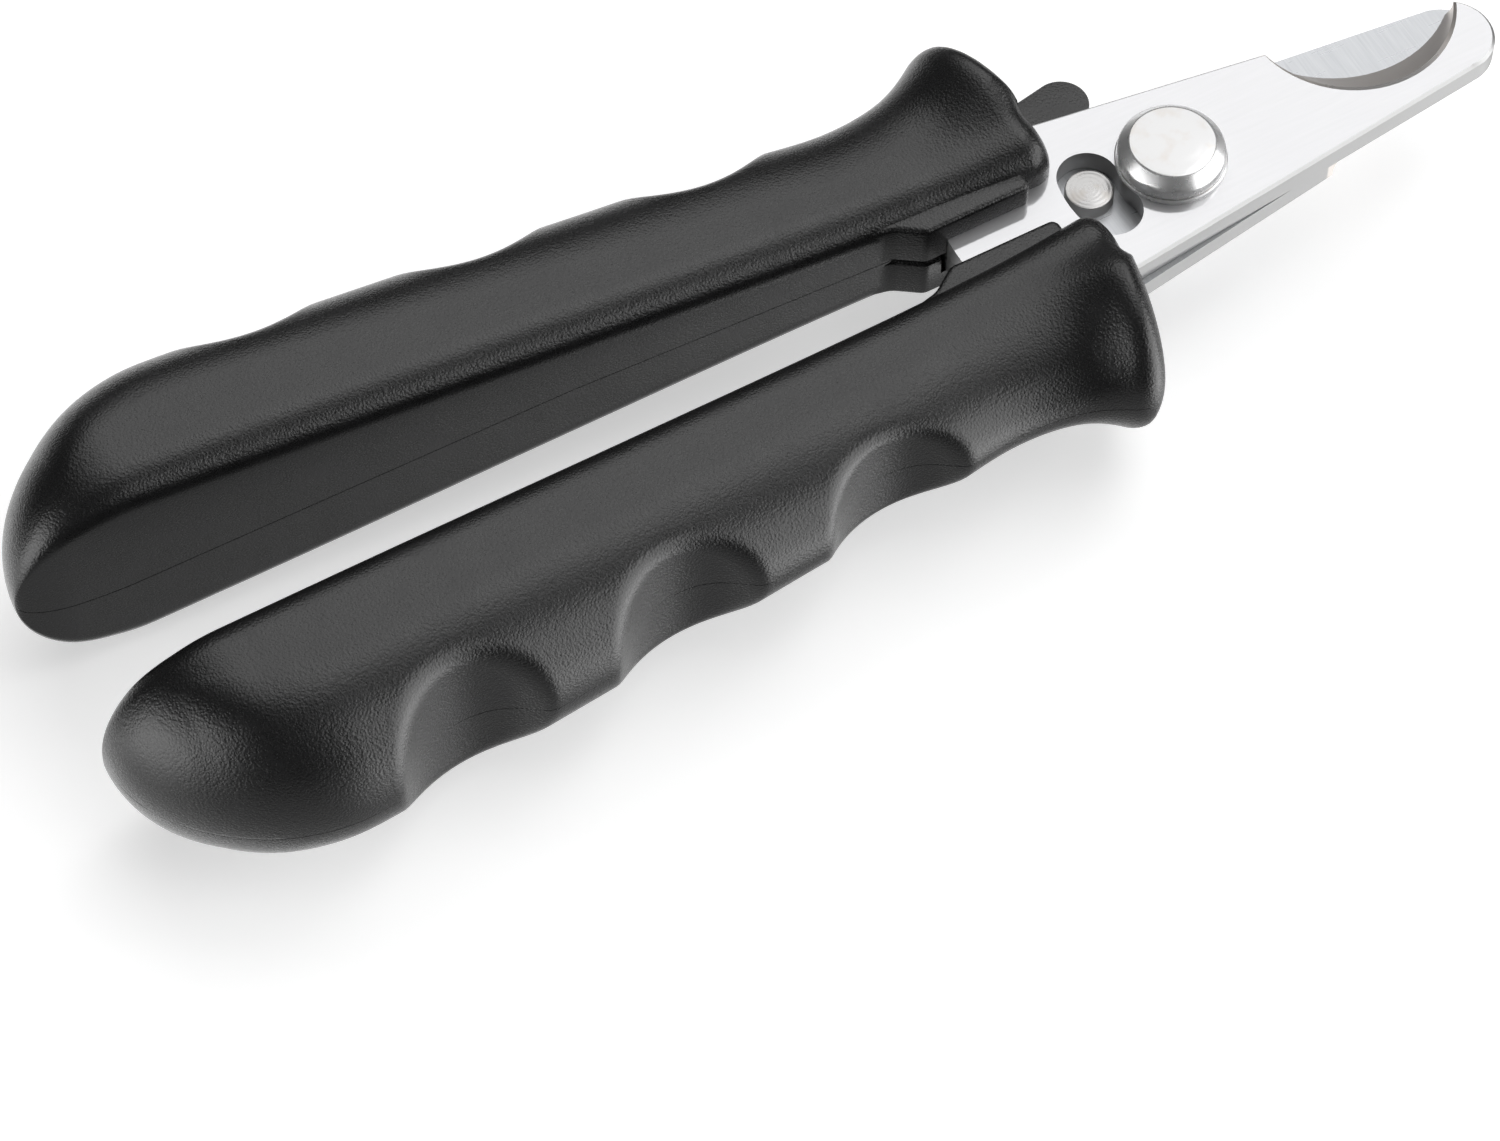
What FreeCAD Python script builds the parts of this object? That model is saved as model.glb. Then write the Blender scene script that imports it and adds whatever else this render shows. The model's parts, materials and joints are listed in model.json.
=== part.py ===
import FreeCAD, Part
import os
from math import atan2, cos, degrees, hypot, radians, sin, sqrt
from FreeCAD import Vector

# Pliers-style nail clipper for pets, lying flat and closed.
# Frame: the origin is on the pivot axis, level with the outer face of the pivot nut. +Z is up along
# the pivot bolt towards its round head, +X runs towards the blade tips, and the handles lie towards -X.
# The upper handle is on the +Y side and carries the top blade; the lower handle mirrors it.
# The pieces are drawn with z = 0 in the plane where the two blades meet, and raised at the end.

os.makedirs("parts", exist_ok=True)

# ---- driving dimensions, in millimetres and degrees ----
PLATE = 2.5               # thickness of each blade plate
BLADE_GAP = 0.02          # each blade stops this far from the meeting plane
HANDLE_REAR = -121.2      # x of the handles' rear ends
HANDLE_FRONT = -10.3      # x of the handles' front faces at their inner edges
FRONT_SLANT = 0.17        # the front face falls back by this much per millimetre outwards
WALL = 2.4                # handle shell wall
OPENING = 29.0            # how far the lower handle swings open
LOCK_SWING = 16.0         # how far the lock lever turns from released to locked
PIVOT_R = 3.0             # pivot bolt's bearing shank
RUNNING = 0.05            # radial clearance of a turning fit
SLIP = 0.1                # clearance round parts that drop into a recess
STOP_R = 2.45             # stop pin
STOP_RADIUS = 8.6         # distance of the stop pin from the pivot
STOP_ANGLE = 171.0        # direction of the stop pin, closed
STUB_R = 1.2              # thin lower end of the stop pin, which the lock lever catches
STUB_END = -5.3

# ---- blade outline ----
BACK_AT_PIVOT = -8.6      # the straight back edge crosses x = 0 here
BACK_SLOPE = 0.112
FRONT_AT_PIVOT = 8.8      # the straight front edge crosses x = 0 here
FRONT_SLOPE = -0.1576
PLATE_REACH = 24.3        # the wide part's rear edge is an arc of this radius about the pivot
NECK_X = -15.0            # the front edge runs straight from the tip to here,
SHOULDER_X = -27.0        # then slants to the tang, which it meets here
TIP_X = 32.6              # centre of the round tip
TIP_R = 4.5
RIM_CENTRE = (25.75, 7.85)     # the notch's rim on the outer face is an arc of this circle
RIM_R = 10.6
EDGE_CENTRE = (26.7, 13.5)     # the cutting edge on the meeting face is an arc of this circle
EDGE_R = 12.85
RIM_CHAMFER = 0.3
SLOT_HALF_WIDTH = 3.1
SLOT_FROM = 166.8         # directions of the centres of the guide slot's two ends
SLOT_TO = STOP_ANGLE + OPENING - 3.3     # the stop pin meets the slot's end just past OPENING
TANG_FRONT = (-30.0, 11.9)     # two points on the tang's centre line
TANG_REAR = (-68.0, 14.3)
TANG_HALF = 4.3
OTHER_PLATE_REACH = 24.9  # radius swept in each handle by the other handle's plate
OTHER_PLATE_CLEAR = 0.4   # room beside that plate's back edge

# ---- handle sections ----
INNER_AT = -69.0          # at this x the inner face stands INNER_Y from the centre plane
INNER_Y = 6.12
INNER_SLOPE = -0.0468
OUTER_STATIONS = [(-117, 25.0), (-103, 26.0), (-87, 25.0), (-71, 23.8), (-55, 22.4), (-39, 21.1),
                  (-29, 19.8), (-21, 20.5), (-12, 23.4)]
HEIGHT_STATIONS = [(-117, 13.4), (-92, 11.7), (-64, 9.5), (-38, 7.6), (-26, 7.2), (-19, 7.8), (-12, 10.4)]
NOSE_DROP = [(-26, 0.0), (-19, 0.5), (-12, 2.4)]     # how much lower the top is along its inner edge
INNER_CORNER = 3.6        # radius of the long edges beside the inner face
OUTER_ROUND = 9.5         # how far the rounded outer flank reaches in from the outermost line
REAR_INNER = 6.0          # lengths over which the rear end rounds off: inner face,
REAR_OUTER = 20.5         # outer flank
REAR_TOP = 13.2           # and top and bottom
REAR_AXIS = 9.7           # y of the point that the rear end closes on
FRONT_ROUND = 3.2
FINGER_GROOVES = (-89.8, -66.2, -42.3)
GROOVE_DEPTH = 3.9
GROOVE_HALF = 7.7
CAVITY_FRONT = -31.0      # ahead of this the handle is solid
# corners of the raised block on the inner face, seen from above
GUIDE_OUTLINE = [(-30.0, 6.6), (-28.7, 4.2), (-26.3, 2.2), (-14.7, 2.2), (-14.7, 6.6)]
GUIDE_TOP = 5.3           # its height either side of the meeting plane
GUIDE_ROUND = 0.6         # and its rounded inner edges
PARTING_FROM = -64.0      # behind this the line between the half shells drops below the meeting plane
PARTING_DROP = 0.055      # by this much per millimetre

# ---- stack under the blades ----
WASHER = 0.45             # thickness of the washer under the bolt's head
HEAD_WASHER_R = 5.6
HEAD_R = 5.4
HEAD_TOP_R = 4.35
HEAD_HEIGHT = 2.45
STUD_TOP = -2.58          # the bolt steps down from its shank to its stud here
STUD_R = 2.5
STUD_CHAMFER = 0.4
SLEEVE_R = 3.7
COIL_R = 4.6
WIRE_R = 0.6
COIL_TOP = -3.3           # height of the wire's centre in the first turn
COIL_BOTTOM = -6.5
SLEEVE_BOTTOM = -7.2
RETAINER_R = 6.0
RETAINER = 0.6            # thickness of the spring's retaining washer
LOCK_WASHER_R = 4.3
LOCK_WASHER = 0.7
NUT = 2.5                 # height of the nut
NUT_HALF = 4.0            # half the distance across its flats
NUT_FACE = SLEEVE_BOTTOM - RETAINER - LOCK_WASHER - NUT
LEG_ANGLE = 10.0          # each spring leg splays this much from -X
LEG_LENGTH = 20.0
LEG_CLEAR = 0.15          # radial room round each leg in its hole

# ---- lock lever ----
LEVER_PIVOT = (-17.0, 11.0)
LEVER_TOP = -2.7
LEVER_BOTTOM = -5.3
LEVER_BED = -5.6          # floor of the lever's slot in the handle
HUB_R = 3.4
TAB_START = (-16.0, 12.2)
TAB_END = (-3.7, 14.4)
TAB_HALF = 2.85
ELBOW = (-12.0, -0.8)     # the hook's arm ends here when locked, and its foot starts
ARM_HALF = 1.1
FOOT_END = -7.5
FOOT_LOW, FOOT_HIGH = -1.5, -0.1
HOOK_CLEAR = 0.5
LEVER_PIN_R = 1.25
LEVER_PIN_BOTTOM = -7.6
LEVER_WASHER_R = 2.7

# ---- fastener places along each handle ----
FRONT_SCREW_X = -36.0
DOWEL_X = -60.0
REAR_SCREW_X = -98.0
REAR_SCREW_Y = 14.5
SCREW_R = 1.4
SCREW_END = 6.0
SCREW_HEAD_R = 2.6
SCREW_HEAD_TOP = -4.6
SCREW_HEAD = 1.8          # height of a screw's head
HEAD_CLEAR = 0.3
CROSS_LONG, CROSS_WIDE, CROSS_DEEP = 1.5, 0.3, 0.8
DOWEL_R = 2.0
DOWEL_HALF = 5.0
POST_R = 3.9              # moulded posts round the screws and the dowel
FAR = 20.0                # further than any piece reaches up or down


def block(x0, x1, y0, y1, z0, z1):
    return Part.makeBox(x1 - x0, y1 - y0, z1 - z0, Vector(x0, y0, z0))


def disc(radius, z0, z1, x=0.0, y=0.0):
    return Part.makeCylinder(radius, z1 - z0, Vector(x, y, z0))


def ring(outer, inner, z0, z1, x=0.0, y=0.0):
    return disc(outer, z0, z1, x, y).cut(disc(inner, z0 - 1, z1 + 1, x, y))


def prism(points, z0, z1):
    corners = [Vector(x, y, z0) for x, y in points]
    face = Part.Face(Part.makePolygon(corners + corners[:1]))
    return face.extrude(Vector(0, 0, z1 - z0))


def loft(wires, ruled=False):
    solid = Part.makeLoft(wires, True, ruled)
    return solid if solid.Volume > 0 else solid.reversed()


def bar(start, end, half, z0, z1):
    """A flat bar with round ends, from one point to another."""
    length = hypot(end[0] - start[0], end[1] - start[1])
    body = block(0, length, -half, half, z0, z1)
    body.rotate(Vector(), Vector(0, 0, 1), degrees(atan2(end[1] - start[1], end[0] - start[0])))
    body.translate(Vector(start[0], start[1], 0))
    return body.fuse([disc(half, z0, z1, *start), disc(half, z0, z1, *end)]).removeSplitter()


def polar(radius, angle):
    return (radius * cos(radians(angle)), radius * sin(radians(angle)))


def turned(shape, angle, centre=(0.0, 0.0)):
    copy = shape.copy()
    copy.rotate(Vector(centre[0], centre[1], 0), Vector(0, 0, 1), angle)
    return copy


def other_side(shape):
    """Mirror from the +Y handle to the -Y handle."""
    return shape.mirror(Vector(), Vector(0, 1, 0))


def flipped(shape):
    """Turn a blade over about the X axis."""
    copy = shape.copy()
    copy.rotate(Vector(), Vector(1, 0, 0), 180)
    return copy


# ---- blades ----

def back_edge(x):
    return BACK_AT_PIVOT + BACK_SLOPE * x


def front_edge(x):
    return FRONT_AT_PIVOT + FRONT_SLOPE * x


def tang_point(x, offset=0.0):
    slope = (TANG_REAR[1] - TANG_FRONT[1]) / (TANG_REAR[0] - TANG_FRONT[0])
    return (x, TANG_FRONT[1] + slope * (x - TANG_FRONT[0]) + offset)


def rear_corner(reach, line):
    """Where a straight edge, given as y by x, meets the plate's rear arc."""
    at_pivot = line(0.0)
    slope = line(1.0) - at_pivot
    steep = 1 + slope ** 2
    x = -(slope * at_pivot + sqrt(steep * reach ** 2 - at_pivot ** 2)) / steep
    return Vector(x, line(x), 0)


def plate(grow=0.0, z0=BLADE_GAP, z1=PLATE):
    """The top blade's outline as a slab; grow widens it for the recess that takes it."""
    reach = PLATE_REACH + grow
    low = rear_corner(reach, lambda x: back_edge(x) - grow)
    high = rear_corner(reach, lambda x: tang_point(x, -TANG_HALF - grow)[1])
    tip_y = back_edge(TIP_X) + TIP_R * sqrt(1 + BACK_SLOPE ** 2)
    corners = [(TIP_X, back_edge(TIP_X) - grow), (TIP_X, tip_y + TIP_R), (NECK_X, front_edge(NECK_X) + grow),
               tang_point(SHOULDER_X, TANG_HALF + grow), tang_point(SHOULDER_X, -TANG_HALF - grow)]
    straight = Part.makePolygon([low] + [Vector(x, y, 0) for x, y in corners] + [high])
    rear = Part.Arc(high, Vector(-reach, 0, 0), low).toShape()
    wide = Part.Face(Part.Wire(straight.Edges + [rear])).extrude(Vector(0, 0, z1 - z0))
    wide.translate(Vector(0, 0, z0))
    tang = bar(TANG_FRONT, TANG_REAR, TANG_HALF + grow, z0, z1)
    tip = disc(TIP_R, z0, z1, TIP_X, tip_y)
    return wide.fuse([tang, tip]).removeSplitter()


def notch():
    """The oblique cone between the notch's rim and the cutting edge, run on past both faces."""
    circles = []
    for z in (-0.5, PLATE + 0.5):
        share = z / PLATE
        x = EDGE_CENTRE[0] + (RIM_CENTRE[0] - EDGE_CENTRE[0]) * share
        y = EDGE_CENTRE[1] + (RIM_CENTRE[1] - EDGE_CENTRE[1]) * share
        radius = EDGE_R + (RIM_R - EDGE_R) * share
        circles.append(Part.Wire(Part.makeCircle(radius, Vector(x, y, z))))
    return loft(circles, ruled=True)


def guide_slot():
    """Curved slot about the pivot, in which the stop pin travels."""
    low, high = -1.0, PLATE + 1.0
    swept = SLOT_TO - SLOT_FROM
    outer = STOP_RADIUS + SLOT_HALF_WIDTH
    sector = Part.makeCylinder(outer, high - low, Vector(0, 0, low), Vector(0, 0, 1), swept)
    sector = turned(sector, SLOT_FROM).cut(disc(STOP_RADIUS - SLOT_HALF_WIDTH, low, high))
    ends = [disc(SLOT_HALF_WIDTH, low, high, *polar(STOP_RADIUS, a)) for a in (SLOT_FROM, SLOT_TO)]
    return sector.fuse(ends).removeSplitter()


def tang_holes():
    return [disc(radius + SLIP, -1, PLATE + 1, *tang_point(x))
            for radius, x in ((SCREW_R, FRONT_SCREW_X), (DOWEL_R, DOWEL_X))]


def blank_blade():
    """Blade before its pivot hole: ground notch, tang holes and a fine chamfer on the outer rim."""
    blade = plate().cut([notch()] + tang_holes())
    outer = [f for f in blade.Faces if abs(f.CenterOfMass.z - PLATE) < 1e-4 and f.normalAt(0, 0).z > 0.99][0]
    rim = [e for e in outer.OuterWire.Edges if e.BoundBox.XMax > NECK_X - 1]
    return blade.makeChamfer(RIM_CHAMFER, rim)


def top_blade():
    return blank_blade().cut([disc(PIVOT_R, -1, PLATE + 1), guide_slot()])


def bottom_blade():
    stop = disc(STOP_R, -PLATE - 1, 1, *polar(STOP_RADIUS, STOP_ANGLE))
    return flipped(blank_blade()).cut([disc(PIVOT_R + RUNNING, -PLATE - 1, 1), stop])


# ---- handles ----

def smooth(x, stations):
    """Cubic through a list of (x, value) stations, with each slope taken from the neighbours."""
    if x <= stations[0][0]:
        return stations[0][1]
    if x >= stations[-1][0]:
        return stations[-1][1]
    i = max(k for k, s in enumerate(stations) if s[0] <= x)

    def slope(k):
        a = stations[max(k - 1, 0)]
        b = stations[min(k + 1, len(stations) - 1)]
        return (b[1] - a[1]) / (b[0] - a[0])

    (x0, v0), (x1, v1) = stations[i], stations[i + 1]
    span = x1 - x0
    t = (x - x0) / span
    return (v0 * (1 + 2 * t) * (1 - t) ** 2 + v1 * t * t * (3 - 2 * t)
            + span * (slope(i) * t * (1 - t) ** 2 - slope(i + 1) * t * t * (1 - t)))


def inner_face(x):
    return INNER_Y + INNER_SLOPE * (x - INNER_AT)


def rounding(distance, length):
    """How full a section is, from 0 to 1, at a distance from a rounded end."""
    return sqrt(1 - max(0.0, 1 - distance / length) ** 2)


def arc_edge(place, cy, cz, ry, rz, start, end):
    """Part of an ellipse in a section, from one direction to another."""
    circle = Part.Circle(Vector(), Vector(0, 0, 1), 1)
    curve = Part.ArcOfCircle(circle, radians(end), radians(start)).toBSpline()
    curve.reverse()
    for i, pole in enumerate(curve.getPoles(), 1):
        curve.setPole(i, place(cy + ry * pole.x, cz + rz * pole.y))
    return curve.toShape()


def handle_section(x, inset=0.0, front_inset=0.0):
    """Upper half of a cut across the handle: flat inner face, rounded corner, elliptical outer flank.
    Towards the nose the top slopes down from the flank to the inner edge."""
    distance = x - HANDLE_REAR - inset
    inner = inner_face(x) + inset
    outer = smooth(x, OUTER_STATIONS) - inset
    height = smooth(x, HEIGHT_STATIONS) - inset
    inner = REAR_AXIS + (inner - REAR_AXIS) * rounding(distance, REAR_INNER) + front_inset
    outer = REAR_AXIS + (outer - REAR_AXIS) * rounding(distance, REAR_OUTER) - front_inset
    height = height * rounding(distance, REAR_TOP) - front_inset
    edge_height = height - smooth(x, NOSE_DROP)
    width = outer - inner
    corner = min(INNER_CORNER - inset / 2, width * 0.25, edge_height * 0.8)
    flank = min(OUTER_ROUND, width * 0.72)
    lean = FRONT_SLANT * max(0.0, min(1.0, (x + 32) / 18)) ** 2

    def place(y, z):
        return Vector(x - lean * (y - inner_face(x)), y, z)

    edges = [
        Part.makeLine(place(inner, 0), place(inner, edge_height - corner)),
        arc_edge(place, inner + corner, edge_height - corner, corner, corner, 180, 90),
        Part.makeLine(place(inner + corner, edge_height), place(outer - flank, height)),
        arc_edge(place, outer - flank, 0, flank, height, 90, 0),
        Part.makeLine(place(outer, 0), place(inner, 0)),
    ]
    return Part.Wire(edges)


def handle_half(inset=0.0, front=None):
    """Top half of the upper handle's outer form, or with an inset the space inside its wall."""
    rear = HANDLE_REAR + inset
    sections = [handle_section(rear + d, inset) for d in (0.12, 0.7, 2.0, 4.2, 7.0, 10.5, 14.5, 19.0)]
    if front is None:
        sections += [handle_section(x) for x in (-94, -87, -79, -71, -63, -55, -47, -39)]
        sections += [handle_section(x) for x in (-33, -29, -25, -21, -17.5)]
        for share in (1.0, 0.55, 0.25, 0.05, 0.0):
            fall = FRONT_ROUND * (1 - rounding(share, 1.0))
            sections.append(handle_section(HANDLE_FRONT - share * FRONT_ROUND, 0.0, fall))
    else:
        sections += [handle_section(x, inset) for x in (-94, -87, -79, -71, -63, -55, -47, -39, front)]
    return loft(sections)


def finger_grooves(grow=0.0):
    """Upright round cutters along the outer flank; grow keeps the wall behind each groove."""
    radius = (GROOVE_HALF ** 2 + GROOVE_DEPTH ** 2) / (2 * GROOVE_DEPTH)
    return [disc(radius + grow, -FAR, FAR, x, smooth(x, OUTER_STATIONS) - GROOVE_DEPTH + radius)
            for x in FINGER_GROOVES]


def guide_block():
    """Top half of the raised block on the inner face, beside the plates."""
    body = prism(GUIDE_OUTLINE, 0.0, GUIDE_TOP)
    nearest = min(y for x, y in GUIDE_OUTLINE)
    edges = [e for e in body.Edges if e.BoundBox.YMin < nearest + 0.1 and e.BoundBox.ZMax > 0.1]
    return body.makeFillet(GUIDE_ROUND, edges)


def own_plate_recess(side):
    """Recess that holds this handle's own blade plate, above or below the meeting plane."""
    recess = plate(SLIP, -0.001, PLATE + 0.03)
    return recess if side > 0 else flipped(recess)


def other_plate_pocket(side):
    """Room for the other handle's plate, which swings through this handle's front."""
    depth = PLATE + 0.15
    x0, x1 = -OTHER_PLATE_REACH - 1, 0.0
    limit = [(x, -back_edge(x) + OTHER_PLATE_CLEAR) for x in (x0, x1)]
    zone = prism([(x0, x0), (x1, x0), limit[1], limit[0]], -depth, 0)
    pocket = disc(OTHER_PLATE_REACH, -depth, 0).common(zone)
    return pocket if side > 0 else flipped(pocket)


def fastener_places():
    return [tang_point(FRONT_SCREW_X), (REAR_SCREW_X, REAR_SCREW_Y)]


def posts():
    return [disc(POST_R, 0, FAR, x, y) for x, y in fastener_places() + [tang_point(DOWEL_X)]]


def half_shell():
    """One hollow half of the upper handle, above the meeting plane, before anything is let into it."""
    outer = handle_half().cut(finger_grooves()).fuse(guide_block()).removeSplitter()
    hollow = handle_half(WALL, CAVITY_FRONT).cut(finger_grooves(WALL)).cut(posts())
    return outer.cut(hollow)


def parting_wedge():
    """What the upper half shell takes from the lower one behind PARTING_FROM."""
    rear = HANDLE_REAR - 1
    lowest = PARTING_DROP * (rear - PARTING_FROM)
    corners = [Vector(PARTING_FROM, 0, 0), Vector(rear, 0, 0), Vector(rear, 0, lowest)]
    return Part.Face(Part.makePolygon(corners + corners[:1])).extrude(Vector(0, 2 * FAR, 0))


def handle_shells(side):
    """Both half shells of one handle, which meet between the blades and lower down at the rear."""
    top = half_shell()
    bottom = top.mirror(Vector(), Vector(0, 0, 1))
    top = top.fuse(bottom.common(parting_wedge()))
    bottom = bottom.cut(parting_wedge())
    if side < 0:
        top, bottom = other_side(top), other_side(bottom)
    lets = [own_plate_recess(side), other_plate_pocket(side)]
    dowel_x, dowel_y = tang_point(DOWEL_X)
    lets.append(disc(DOWEL_R, -DOWEL_HALF, DOWEL_HALF, dowel_x, side * dowel_y))
    for x, y in fastener_places():
        top = top.cut(disc(SCREW_R, SCREW_HEAD_TOP, SCREW_END + 0.2, x, side * y))
        lets.append(disc(SCREW_R + SLIP, -FAR, 0, x, side * y))
        lets.append(disc(SCREW_HEAD_R + HEAD_CLEAR, -FAR, SCREW_HEAD_TOP, x, side * y))
    return top.cut(lets[:3]), bottom.cut(lets)


def handle_screws(side):
    """Pan-head screws driven from underneath."""
    screws = []
    bottom = SCREW_HEAD_TOP - SCREW_HEAD
    for x, y in fastener_places():
        y *= side
        head = disc(SCREW_HEAD_R, bottom, SCREW_HEAD_TOP, x, y)
        low = [e for e in head.Edges if abs(e.BoundBox.ZMax - bottom) < 1e-6]
        head = head.makeFillet(0.7, low)
        shank = disc(SCREW_R, SCREW_HEAD_TOP, SCREW_END, x, y)
        drive = [block(x - a, x + a, y - b, y + b, bottom - 1, bottom + CROSS_DEEP)
                 for a, b in ((CROSS_LONG, CROSS_WIDE), (CROSS_WIDE, CROSS_LONG))]
        screws.append(head.fuse(shank).removeSplitter().cut(drive))
    return Part.makeCompound(screws)


def tang_dowel(side):
    x, y = tang_point(DOWEL_X)
    dowel = disc(DOWEL_R, -DOWEL_HALF, DOWEL_HALF, x, side * y)
    rims = [e for e in dowel.Edges if e.BoundBox.ZLength < 0.01]
    return dowel.makeChamfer(0.3, rims)


# ---- pivot stack ----

def pivot_bolt():
    """Round head with a chamfered shoulder, bearing shank, and a stud that ends flush with the nut."""
    seat = PLATE + WASHER
    outline = [(0, seat + HEAD_HEIGHT), (HEAD_TOP_R, seat + HEAD_HEIGHT), (HEAD_R - 0.2, seat + 1.5),
               (HEAD_R, seat + 1.1), (HEAD_R, seat), (PIVOT_R, seat), (PIVOT_R, STUD_TOP), (STUD_R, STUD_TOP),
               (STUD_R, NUT_FACE + STUD_CHAMFER), (STUD_R - STUD_CHAMFER, NUT_FACE), (0, NUT_FACE)]
    corners = [Vector(r, 0, z) for r, z in outline]
    face = Part.Face(Part.makePolygon(corners + corners[:1]))
    return face.revolve(Vector(), Vector(0, 0, 1), 360)


def pivot_head_washer():
    return ring(HEAD_WASHER_R, PIVOT_R, PLATE, PLATE + WASHER)


def pivot_sleeve():
    return ring(SLEEVE_R, STUD_R, SLEEVE_BOTTOM, STUD_TOP)


def spring_retainer():
    return ring(RETAINER_R, STUD_R, SLEEVE_BOTTOM - RETAINER, SLEEVE_BOTTOM)


def pivot_lock_washer():
    """Split spring washer."""
    bottom = NUT_FACE + NUT
    split = block(0, LOCK_WASHER_R + 1, -0.35, 0.35, bottom - 1, bottom + LOCK_WASHER + 1)
    return ring(LOCK_WASHER_R, STUD_R, bottom, bottom + LOCK_WASHER).cut(split)


def pivot_nut():
    """Hexagon with its lower corners turned off."""
    corner = NUT_HALF / cos(radians(30))
    hexagon = prism([polar(corner, 60 * k) for k in range(6)], NUT_FACE, NUT_FACE + NUT)
    cone = Part.makeCone(corner - 0.5, corner + 1.3, NUT, Vector(0, 0, NUT_FACE))
    return hexagon.common(cone).cut(disc(STUD_R, NUT_FACE - 1, NUT_FACE + NUT + 1))


def torsion_spring():
    """Coil round the sleeve; its upper leg goes to the lower handle, its lower leg to the upper handle."""
    swept = 720 + 180 - 2 * LEG_ANGLE
    height = COIL_TOP - COIL_BOTTOM
    helix = Part.makeHelix(height * 360 / swept, height, COIL_R, 0, True)
    helix.rotate(Vector(), Vector(0, 0, 1), 90 - LEG_ANGLE)
    helix.translate(Vector(0, 0, COIL_BOTTOM))
    legs = []
    for sign, z in ((1, COIL_BOTTOM), (-1, COIL_TOP)):
        x, y = polar(COIL_R, sign * (90 - LEG_ANGLE))
        dx, dy = polar(LEG_LENGTH, sign * (180 - LEG_ANGLE))
        legs.append(Part.makeLine(Vector(x, y, z), Vector(x + dx, y + dy, z)))
    path = Part.Wire(Part.__sortEdges__([legs[0]] + helix.Edges + [legs[1]]))
    first = path.OrderedEdges[0]
    start = first.valueAt(first.FirstParameter)
    profile = Part.Wire(Part.makeCircle(WIRE_R, start, first.tangentAt(first.FirstParameter)))
    return Part.Solid(path.makePipeShell([profile], True, True))


def spring_leg_hole(sign, z):
    """Blind hole in a handle's front for one spring leg."""
    x, y = polar(COIL_R, sign * (90 - LEG_ANGLE))
    dx, dy = polar(1.0, sign * (180 - LEG_ANGLE))
    way = Vector(dx, dy, 0)
    return Part.makeCylinder(WIRE_R + LEG_CLEAR, LEG_LENGTH + 2 * LEG_CLEAR, Vector(x, y, z), way)


def stop_pin():
    x, y = polar(STOP_RADIUS, STOP_ANGLE)
    body = disc(STOP_R, -PLATE, 1.5, x, y)
    top = [e for e in body.Edges if e.BoundBox.ZMin > 1.49]
    stub = disc(STUB_R, STUB_END, -PLATE, x, y)
    return body.makeChamfer(0.2, top).fuse(stub).removeSplitter()


# ---- lock lever ----

def locked_hook(grow=0.0, z0=LEVER_BOTTOM, z1=LEVER_TOP):
    """Arm and foot in the locked position: the foot lies across the stop pin's way out."""
    arm = bar(LEVER_PIVOT, ELBOW, ARM_HALF + grow, z0, z1)
    foot = block(ELBOW[0], FOOT_END + grow, FOOT_LOW - grow, FOOT_HIGH + grow, z0, z1)
    return arm.fuse(foot).removeSplitter()


def lock_lever():
    """Hub on a pin, thumb tab towards the blades and hook towards the stop pin, released."""
    hook = turned(locked_hook(), -LOCK_SWING, LEVER_PIVOT)
    hub = disc(HUB_R, LEVER_BOTTOM, LEVER_TOP, *LEVER_PIVOT)
    tab = bar(TAB_START, TAB_END, TAB_HALF, LEVER_BOTTOM, LEVER_TOP)
    body = tab.fuse([hub, hook]).removeSplitter()
    return body.cut(disc(LEVER_PIN_R + RUNNING, -10, 0, *LEVER_PIVOT))


def lever_slot():
    """Flat slot through the upper handle's nose in which the lever swings, open to the front."""
    return prism([(-21.4, 6.6), (-14.0, -6.0), (0, -6.0), (0, 18.6), (-16.0, 18.6), (-21.4, 15.0)],
                 LEVER_BED, -PLATE)


def lock_lever_pin():
    return disc(LEVER_PIN_R, LEVER_PIN_BOTTOM, -PLATE - 0.12, *LEVER_PIVOT)


def lock_lever_washer():
    return ring(LEVER_WASHER_R, LEVER_PIN_R, LEVER_BED, LEVER_BOTTOM, *LEVER_PIVOT)


def hook_relief():
    """Scoop in the lower handle's nose that the released hook dips into."""
    return turned(locked_hook(HOOK_CLEAR, LEVER_BED, -PLATE), -LOCK_SWING, LEVER_PIVOT)


def build():
    """Every piece by its node's name."""
    upper_top, upper_bottom = handle_shells(+1)
    lower_top, lower_bottom = handle_shells(-1)
    upper_bottom = upper_bottom.cut([lever_slot(), lock_lever_pin(), spring_leg_hole(+1, COIL_BOTTOM)])
    lower_bottom = lower_bottom.cut([hook_relief(), spring_leg_hole(-1, COIL_TOP)])
    return {
        "top_blade": top_blade(),
        "bottom_blade": bottom_blade(),
        "upper_handle_top_shell": upper_top,
        "upper_handle_bottom_shell": upper_bottom,
        "lower_handle_top_shell": lower_top,
        "lower_handle_bottom_shell": lower_bottom,
        "upper_handle_screws": handle_screws(+1),
        "lower_handle_screws": handle_screws(-1),
        "upper_tang_dowel": tang_dowel(+1),
        "lower_tang_dowel": tang_dowel(-1),
        "pivot_bolt": pivot_bolt(),
        "pivot_head_washer": pivot_head_washer(),
        "pivot_sleeve": pivot_sleeve(),
        "torsion_spring": torsion_spring(),
        "spring_retainer": spring_retainer(),
        "pivot_lock_washer": pivot_lock_washer(),
        "pivot_nut": pivot_nut(),
        "stop_pin": stop_pin(),
        "lock_lever": lock_lever(),
        "lock_lever_pin": lock_lever_pin(),
        "lock_lever_washer": lock_lever_washer(),
    }


for name, shape in build().items():
    shape.translate(Vector(0, 0, -NUT_FACE))
    shape.exportStep("parts/" + name + ".step")
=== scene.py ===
import json

import bmesh
import bpy
import numpy as np
from math import acos, atan2, cos, hypot, pi, radians, sin, sqrt
from mathutils import Matrix, Vector


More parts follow.
